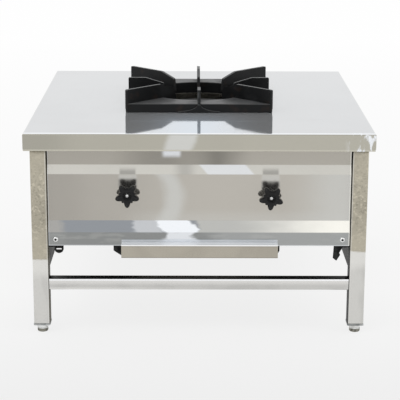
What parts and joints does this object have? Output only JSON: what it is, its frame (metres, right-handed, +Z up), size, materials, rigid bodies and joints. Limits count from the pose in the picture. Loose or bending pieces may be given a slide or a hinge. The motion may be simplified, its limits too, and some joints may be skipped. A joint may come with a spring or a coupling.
{
  "type": "stock pot range",
  "caption": "Low free-standing gas range with a folded worktop, cast pot grate over a double-ring burner, front valve knobs and a slide-out drip tray.",
  "frame": {"origin": "on the floor under the middle of the worktop", "axes": "+Z up, the front with the knobs faces -Y, +X to the right seen from the front"},
  "size_m": [0.75, 0.824, 0.502],
  "materials": {
    "worktop_steel": "smooth stainless sheet, near mirror, faint grain",
    "panel_steel": "mirror-like stainless sheet with soft waves",
    "leg_steel": "stainless tube, mottled near the top",
    "frame_steel": "plain steel bar and angle, dull",
    "tray_steel": "folded stainless sheet",
    "black_steel": "blackened steel",
    "cast_iron": "black cast iron, fine sand texture",
    "brass": "turned brass",
    "black_plastic": "moulded heat-proof plastic, satin",
    "bright_steel": "plated steel",
    "pipe_steel": "grey gas pipe"
  },
  "bodies": {
    "range_frame": {"top_sheet": "worktop_steel", "leg_front_left": "leg_steel", "leg_plate_front_left": "frame_steel", "leg_front_right": "leg_steel", "leg_plate_front_right": "frame_steel", "leg_rear_left": "leg_steel", "leg_plate_rear_left": "frame_steel", "leg_rear_right": "leg_steel", "leg_plate_rear_right": "frame_steel", "stretcher_front": "leg_steel", "rail_front": "frame_steel", "cross_angle_front": "frame_steel", "burner_support_front": "frame_steel", "stretcher_rear": "leg_steel", "rail_rear": "frame_steel", "cross_angle_rear": "frame_steel", "burner_support_rear": "frame_steel", "rail_left": "frame_steel", "rail_right": "frame_steel", "front_panel": "panel_steel", "side_panel_left": "panel_steel", "side_panel_right": "panel_steel", "rear_panel": "panel_steel", "panel_bracket_left": "black_steel", "panel_screw_left": "bright_steel", "tray_runner_left": "black_steel", "valve_body_left": "brass", "gas_nozzle_left": "brass", "manifold_saddle_left": "frame_steel", "panel_bracket_right": "black_steel", "panel_screw_right": "bright_steel", "tray_runner_right": "black_steel", "valve_body_right": "brass", "gas_nozzle_right": "brass", "manifold_saddle_right": "frame_steel", "burner_ring_inner": "cast_iron", "burner_cap_inner": "cast_iron", "mixing_tube_inner": "cast_iron", "burner_ring_outer": "cast_iron", "burner_cap_outer": "cast_iron", "mixing_tube_outer": "cast_iron", "manifold_pipe": "pipe_steel", "manifold_plug": "pipe_steel", "supply_elbow": "pipe_steel", "supply_pipe": "pipe_steel", "gas_inlet_socket": "brass"},
    "knob_left": {"knob_left": "black_plastic", "valve_stem_left": "bright_steel", "knob_screw_left": "bright_steel"},
    "air_shutter_left": {"air_shutter_left": "frame_steel"},
    "knob_right": {"knob_right": "black_plastic", "valve_stem_right": "bright_steel", "knob_screw_right": "bright_steel"},
    "air_shutter_right": {"air_shutter_right": "frame_steel"},
    "drip_tray": {"drip_tray": "tray_steel"},
    "pot_grate": {"pot_grate": "cast_iron"},
    "foot_front_left": {"foot_front_left": "bright_steel"},
    "foot_front_right": {"foot_front_right": "bright_steel"},
    "foot_rear_left": {"foot_rear_left": "bright_steel"},
    "foot_rear_right": {"foot_rear_right": "bright_steel"}
  },
  "joints": [
    {"name": "knob_left_turn", "type": "hinge", "parent": "range_frame", "child": "knob_left", "pos_m": [-0.154, -0.405, 0.317], "axis": [0, -1, 0], "range_deg": [0, 540]},
    {"name": "knob_right_turn", "type": "hinge", "parent": "range_frame", "child": "knob_right", "pos_m": [0.154, -0.405, 0.312], "axis": [0, -1, 0], "range_deg": [0, 540]},
    {"name": "air_shutter_left_turn", "type": "hinge", "parent": "range_frame", "child": "air_shutter_left", "pos_m": [-0.154, -0.3142, 0.317], "axis": [0, -1, 0], "range_deg": [0, 60]},
    {"name": "air_shutter_right_turn", "type": "hinge", "parent": "range_frame", "child": "air_shutter_right", "pos_m": [0.154, -0.3142, 0.312], "axis": [0, -1, 0], "range_deg": [0, 60]},
    {"name": "drip_tray_slide", "type": "slide", "parent": "range_frame", "child": "drip_tray", "axis": [0, -1, 0], "range_m": [0, 0.45]},
    {"name": "pot_grate_lift", "type": "slide", "parent": "range_frame", "child": "pot_grate", "axis": [0, 0, 1], "range_m": [0, 0.12]},
    {"name": "foot_front_left_turn", "type": "hinge", "parent": "range_frame", "child": "foot_front_left", "pos_m": [-0.3445, -0.3695, 0.0075], "axis": [0, 0, 1], "range_deg": [0, 720]},
    {"name": "foot_front_right_turn", "type": "hinge", "parent": "range_frame", "child": "foot_front_right", "pos_m": [0.3445, -0.3695, 0.0075], "axis": [0, 0, 1], "range_deg": [0, 720]},
    {"name": "foot_rear_left_turn", "type": "hinge", "parent": "range_frame", "child": "foot_rear_left", "pos_m": [-0.3445, 0.3695, 0.0075], "axis": [0, 0, 1], "range_deg": [0, 720]},
    {"name": "foot_rear_right_turn", "type": "hinge", "parent": "range_frame", "child": "foot_rear_right", "pos_m": [0.3445, 0.3695, 0.0075], "axis": [0, 0, 1], "range_deg": [0, 720]}
  ]
}
